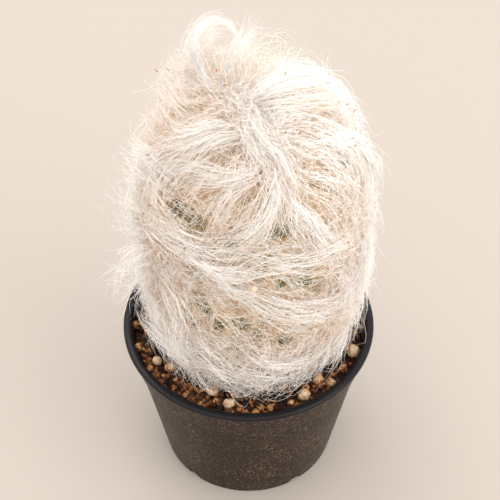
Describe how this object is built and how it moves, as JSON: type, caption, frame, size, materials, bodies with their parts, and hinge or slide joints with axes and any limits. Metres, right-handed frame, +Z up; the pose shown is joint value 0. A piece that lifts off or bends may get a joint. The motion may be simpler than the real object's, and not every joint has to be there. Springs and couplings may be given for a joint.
{
  "type": "potted old lady cactus",
  "caption": "Column cactus covered in long white hair, standing in the soil of a round tapered nursery pot with a rolled rim.",
  "frame": {"origin": "centre of the pot's base, on the surface it stands on", "axes": "+Z up along the pot and the column, -Y towards the side that the picture shows"},
  "size_m": [0.09, 0.0908, 0.173],
  "materials": {
    "pot_plastic": "brown-black moulded plastic with straw flecks, satin",
    "soil_mix": "loose brown potting mix with cream and tan porous pebbles",
    "stem_skin": "grey-green waxy skin with conical tubercles and red-brown spines",
    "wool_fibre": "fine white hair, cream to tan in its depth"
  },
  "bodies": {
    "root": {"pot": "pot_plastic", "soil": "soil_mix", "stem": "stem_skin", "wool": "wool_fibre"}
  },
  "joints": []
}
